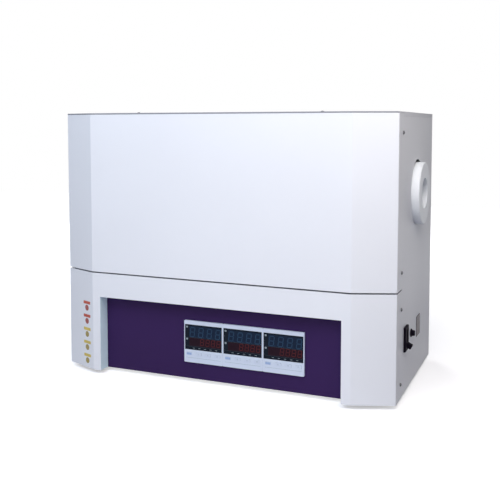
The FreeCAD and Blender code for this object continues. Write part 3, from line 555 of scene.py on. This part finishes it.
def display(zone):
    """Digits, dots and lines inside one controller's window."""
    low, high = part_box(zone + "_controller")
    window_low, window_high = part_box("controller_windows")
    centre_x = (low.x + high.x) / 2
    pitch = (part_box("right_controller")[0].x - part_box("left_controller")[0].x) / 2
    width = (window_high.x - window_low.x) - 2 * pitch
    height = window_high.z - window_low.z
    origin = Vector((centre_x - width / 2, window_low.y, window_low.z))
    for name, material in (("big", BIG_BACKING), ("small", SMALL_BACKING)):
        left, right, top, bottom = BACKINGS[name]
        panel = rounded_bar((left + right) / 2 * width, (1 - (top + bottom) / 2) * height,
                            (right - left) * width, (bottom - top) * height, BACKING_CORNER)
        face_piece(zone + "_" + name + "_backing", [panel], origin, material, "root",
                   BACKING_THICKNESS)
    for row, name, material in ((BIG_DIGITS, "big_digits", BIG_SEGMENTS),
                                (SMALL_DIGITS, "small_digits", SMALL_SEGMENTS)):
        outlines = []
        for index in range(DIGIT_COUNT):
            centre = (row["first"] + index * row["pitch"]) * width
            bottom = (1 - row["top"] - row["height"]) * height
            outlines += digit_segments(centre, bottom, row["width"] * width, row["height"] * height)
        face_piece(zone + "_" + name, outlines, origin, material, "root")
    marks = [rounded_bar(u * width, (1 - v) * height, *LAMP_SPOT_SIZE) for u, v in LAMP_SPOTS]
    for index in range(DASH_COUNT):
        centre = (DASH_FIRST + index * DASH_PITCH) * width
        marks.append(rounded_bar(centre, (1 - DASH_ROW) * height, *DASH_SIZE, steps=2))
    face_piece(zone + "_window_marks", marks, origin, WINDOW_PRINT, "root")
    start, end = (share * width for share in DIVIDER_SPAN)
    lines = [stroke(start, (1 - v) * height, end, (1 - v) * height, DIVIDER_WIDTH)
             for v in DIVIDER_ROWS]
    face_piece(zone + "_window_lines", lines, origin, WINDOW_LINE, "root")


def arrow(turn):
    """Two strokes that meet in a point, which looks up at a turn of 0 and left at 90 degrees."""
    turned = Matrix.Rotation(math.radians(turn), 2)
    rise = MARK_SLOPE * MARK_REACH
    tip = turned @ Vector((0, rise))
    ends = [turned @ Vector((side * MARK_REACH, -rise)) for side in (-1, 1)]
    return [stroke(end.x, end.y, tip.x, tip.y, MARK_STROKE) for end in ends]


def key_marks(zone):
    """One plain mark on each key, and the fine line under the row."""
    bars = [rounded_bar(0, 0, *FIRST_MARK, steps=3)]
    for index, outlines in enumerate((bars, arrow(90), arrow(180), arrow(0))):
        body = zone + "_key_" + str(index + 1)
        low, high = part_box(body)
        origin = Vector(((low.x + high.x) / 2, low.y, (low.z + high.z) / 2))
        material = KEY_PRINT_BLUE if index == 0 else KEY_PRINT
        face_piece(body + "_mark", outlines, origin, material, body, MARK_THICKNESS)
    low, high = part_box(zone + "_controller")
    line = rounded_bar(0, 0, *FACE_LINE, steps=2)
    origin = Vector(((low.x + high.x) / 2, low.y, low.z + FACE_LINE_LIFT))
    face_piece(zone + "_face_line", [line], origin, KEY_PRINT, "root",
               MARK_THICKNESS)


def tags():
    """Plain blank tags down the left corner facet: a bar and a round spot each."""
    foot_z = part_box("lower_front_cover")[0].z
    corner = Vector((-HALF_WIDTH, -HALF_DEPTH + CHAMFER_DEPTH, 0))
    fold = Vector((-HALF_WIDTH + CHAMFER_WIDTH, -HALF_DEPTH, 0))
    across = (fold - corner).normalized()
    middle = corner + across * (TAG_ACROSS / across.x)
    up = Vector((0, 0, 1))
    for index in range(TAG_COUNT):
        origin = middle + up * (foot_z + FIRST_TAG - TAG_PITCH * index)
        outlines = {"bar": rounded_bar(0, 0, *TAG_BAR), "spot": disc(0, *TAG_SPOT)}
        materials = TAG_RED if index < RED_TAGS else TAG_YELLOW
        for (part, outline), material in zip(outlines.items(), materials):
            form = bmesh.new()
            prism(form, outline, origin, across, up, TAG_THICKNESS)
            name = "blank_tag_" + part + "_" + str(index + 1)
            add_piece(name, mesh_from(name, form), material, "root")


def islands(node):
    """Lowest and highest corner of each separate solid in a node."""
    mesh = nodes[node].data
    form = bmesh.new()
    form.from_mesh(mesh)
    bmesh.ops.remove_doubles(form, verts=form.verts, dist=MERGE_DISTANCE)
    seen = set()
    found = []
    for start in form.verts:
        if start in seen:
            continue
        group = [start]
        seen.add(start)
        for vert in group:
            for edge in vert.link_edges:
                other = edge.other_vert(vert)
                if other not in seen:
                    seen.add(other)
                    group.append(other)
        low = Vector([min(v.co[axis] for v in group) for axis in range(3)])
        high = Vector([max(v.co[axis] for v in group) for axis in range(3)])
        found.append((low, high))
    form.free()
    return found


def screw_mesh():
    """Pan-head screw along +Z with its seat at the origin, and a cross recess in its head."""
    profile = [(0, -SHANK_LENGTH), (SHANK_RADIUS, -SHANK_LENGTH), (SHANK_RADIUS, 0)]
    profile += [(HEAD_RADIUS, 0), (HEAD_RADIUS, HEAD_HEIGHT * HEAD_SIDE)]
    for step in range(1, HEAD_STEPS + 1):
        turn = math.pi / 2 * step / HEAD_STEPS
        radius = HEAD_RADIUS * math.cos(turn) ** HEAD_ROUNDNESS if step < HEAD_STEPS else 0.0
        profile.append((radius, HEAD_HEIGHT * (HEAD_SIDE + (1 - HEAD_SIDE) * math.sin(turn))))
    form = bmesh.new()
    verts = [form.verts.new((radius, 0, height)) for radius, height in profile]
    edges = [form.edges.new(pair) for pair in zip(verts, verts[1:])]
    bmesh.ops.spin(form, geom=verts + edges, axis=(0, 0, 1), cent=(0, 0, 0), steps=SCREW_FLATS,
                   angle=2 * math.pi)
    bmesh.ops.remove_doubles(form, verts=form.verts, dist=SCREW_MERGE_DISTANCE)
    head = bpy.data.objects.new("screw_blank", mesh_from("screw_blank", form))
    cutter_form = bmesh.new()
    for turn in (0, math.pi / 2):
        place = Matrix.Rotation(turn, 4, "Z") @ Matrix.Translation((0, 0, HEAD_HEIGHT))
        bmesh.ops.create_cube(cutter_form, size=1, matrix=place @ Matrix.Diagonal((*CROSS_SIZE, 1)))
    cutter = bpy.data.objects.new("screw_cross", mesh_from("screw_cross", cutter_form))
    for item in (head, cutter):
        bpy.context.scene.collection.objects.link(item)
    cut = head.modifiers.new("cross", "BOOLEAN")
    cut.operation = "DIFFERENCE"
    cut.object = cutter
    cut.use_self = True
    cut.solver = "EXACT"
    bpy.context.view_layer.update()
    graph = bpy.context.evaluated_depsgraph_get()
    result = bpy.data.meshes.new_from_object(head.evaluated_get(graph))
    for item in (head, cutter):
        bpy.data.objects.remove(item)
    return result


def screws(node, blank):
    """Detailed screws in place of a node's plain ones, each turned a little differently."""
    form = bmesh.new()
    centre = (cad_box[0] + cad_box[1]) / 2
    for index, (low, high) in enumerate(islands(node)):
        size = high - low
        axis = max(range(3), key=lambda a: size[a])
        middle = (low + high) / 2
        outward = Vector((0, 0, 0))
        outward[axis] = 1 if middle[axis] > centre[axis] else -1
        tip = high[axis] if outward[axis] > 0 else low[axis]
        seat = middle.copy()
        seat[axis] = tip - outward[axis] * HEAD_HEIGHT
        aim = outward.to_track_quat("Z", "Y").to_matrix().to_4x4()
        turn = Matrix.Rotation(TURN_STEP * index + FIRST_TURN, 4, "Z")
        copy = blank.copy()
        copy.transform(Matrix.Translation(seat) @ aim @ turn)
        form.from_mesh(copy)
        bpy.data.meshes.remove(copy)
    mesh = bpy.data.meshes.new(node + "_detailed")
    form.to_mesh(mesh)
    form.free()
    piece = add_piece(node + "_detailed", mesh, MATERIALS["dark_screws"], "root")
    smooth_by_angle(mesh, SCREW_CREASE_ANGLE)
    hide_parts(node)


# Stage

def direction(azimuth, elevation):
    """Unit vector from the object; azimuth 0 is straight in front, and 90 is to its right."""
    a, e = math.radians(azimuth), math.radians(elevation)
    return Vector((math.sin(a) * math.cos(e), -math.cos(a) * math.cos(e), math.sin(e)))


def area_light(name, setting):
    """Square lamp that faces the object."""
    lamp = bpy.data.lights.new(name, "AREA")
    lamp.energy = setting["power"]
    lamp.size = setting["size"]
    lamp.color = setting["colour"]
    item = bpy.data.objects.new(name, lamp)
    way = direction(setting["azimuth"], setting["elevation"])
    item.location = TARGET + way * setting["distance"]
    item.rotation_euler = way.to_track_quat("Z", "Y").to_euler()
    bpy.context.scene.collection.objects.link(item)


def seen_directly(tree):
    """One where the camera, a mirror or glass looks at the surface, and zero for other light."""
    ways = tree.nodes.new("ShaderNodeLightPath").outputs
    seen = calculated(tree, "ADD", ways["Is Camera Ray"], ways["Is Glossy Ray"], clamp=True)
    return calculated(tree, "ADD", seen, ways["Is Transmission Ray"], clamp=True)


def white_world():
    """White background with a soft, slightly cool ambient light."""
    world = bpy.data.worlds.new("studio")
    world.use_nodes = True
    bpy.context.scene.world = world
    tree = world.node_tree
    tree.nodes.clear()
    ambient = add_node(tree, "ShaderNodeBackground", Color=(*AMBIENT, 1), Strength=1.0)
    white = add_node(tree, "ShaderNodeBackground", Color=(1, 1, 1, 1), Strength=1.0)
    mix = tree.nodes.new("ShaderNodeMixShader")
    output = tree.nodes.new("ShaderNodeOutputWorld")
    tree.links.new(seen_directly(tree), mix.inputs["Fac"])
    tree.links.new(ambient.outputs[0], mix.inputs[1])
    tree.links.new(white.outputs[0], mix.inputs[2])
    tree.links.new(mix.outputs[0], output.inputs["Surface"])


def floor_material():
    """Pale floor that keeps the shadow and fades to white further out."""
    material = bpy.data.materials.new("floor")
    material.use_nodes = True
    tree = material.node_tree
    tree.nodes.clear()
    plain = tree.nodes.new("ShaderNodeBsdfDiffuse")
    parts = tree.nodes.new("ShaderNodeSeparateXYZ")
    tree.links.new(object_coordinates(tree), parts.inputs["Vector"])
    aside = calculated(tree, "ABSOLUTE", parts.outputs["X"])
    shares = ramp(tree, aside, FLOOR_IN_FRONT, FLOOR_ASIDE, *FLOOR_CHANGE)
    tree.links.new(shares, plain.inputs["Color"])
    bright = add_node(tree, "ShaderNodeBsdfDiffuse", Color=(*FLOOR_SEEN, 1))
    glow = add_node(tree, "ShaderNodeEmission", Color=(*FLOOR_GLOW, 1))
    where = tree.nodes.new("ShaderNodeTexCoord")
    distance = tree.nodes.new("ShaderNodeVectorMath")
    distance.operation = "LENGTH"
    tree.links.new(where.outputs["Object"], distance.inputs[0])
    fade = tree.nodes.new("ShaderNodeMapRange")
    for socket, value in FLOOR_FADE.items():
        fade.inputs[socket].default_value = value
    tree.links.new(distance.outputs["Value"], fade.inputs["Value"])
    tree.links.new(fade.outputs["Result"], glow.inputs["Strength"])
    lit = tree.nodes.new("ShaderNodeAddShader")
    tree.links.new(bright.outputs[0], lit.inputs[0])
    tree.links.new(glow.outputs[0], lit.inputs[1])
    mix = tree.nodes.new("ShaderNodeMixShader")
    output = tree.nodes.new("ShaderNodeOutputMaterial")
    tree.links.new(seen_directly(tree), mix.inputs["Fac"])
    tree.links.new(plain.outputs[0], mix.inputs[1])
    tree.links.new(lit.outputs[0], mix.inputs[2])
    tree.links.new(mix.outputs[0], output.inputs["Surface"])
    return material


def pale_floor():
    """Square floor under the feet."""
    mesh = bpy.data.meshes.new("floor")
    corners = [(x * FLOOR_HALF, y * FLOOR_HALF, 0) for x, y in ((-1, -1), (1, -1), (1, 1), (-1, 1))]
    mesh.from_pydata(corners, [], [(0, 1, 2, 3)])
    mesh.materials.append(floor_material())
    floor = bpy.data.objects.new("floor", mesh)
    bpy.context.scene.collection.objects.link(floor)


def add_camera():
    """Camera at the photograph's place and angle."""
    data = bpy.data.cameras.new("camera")
    data.sensor_fit = "HORIZONTAL"
    data.sensor_width = SENSOR_WIDTH
    data.lens = CAMERA_LENS
    data.shift_y = CAMERA_SHIFT
    camera = bpy.data.objects.new("camera", data)
    camera.location = CAMERA_PLACE
    camera.rotation_euler = (math.radians(90 - CAMERA_PITCH), 0, math.radians(CAMERA_YAW))
    bpy.context.scene.collection.objects.link(camera)
    bpy.context.scene.camera = camera


add_camera()
for light_name, light_setting in LIGHTS.items():
    area_light(light_name, light_setting)
white_world()
pale_floor()
dress_nodes()
for zone_name in ZONES:
    display(zone_name)
    key_marks(zone_name)
tags()
screw_blank = screw_mesh()
screws("cover_screws", screw_blank)
screws("rear_screws", screw_blank)
bpy.context.scene.view_settings.view_transform = "Standard"
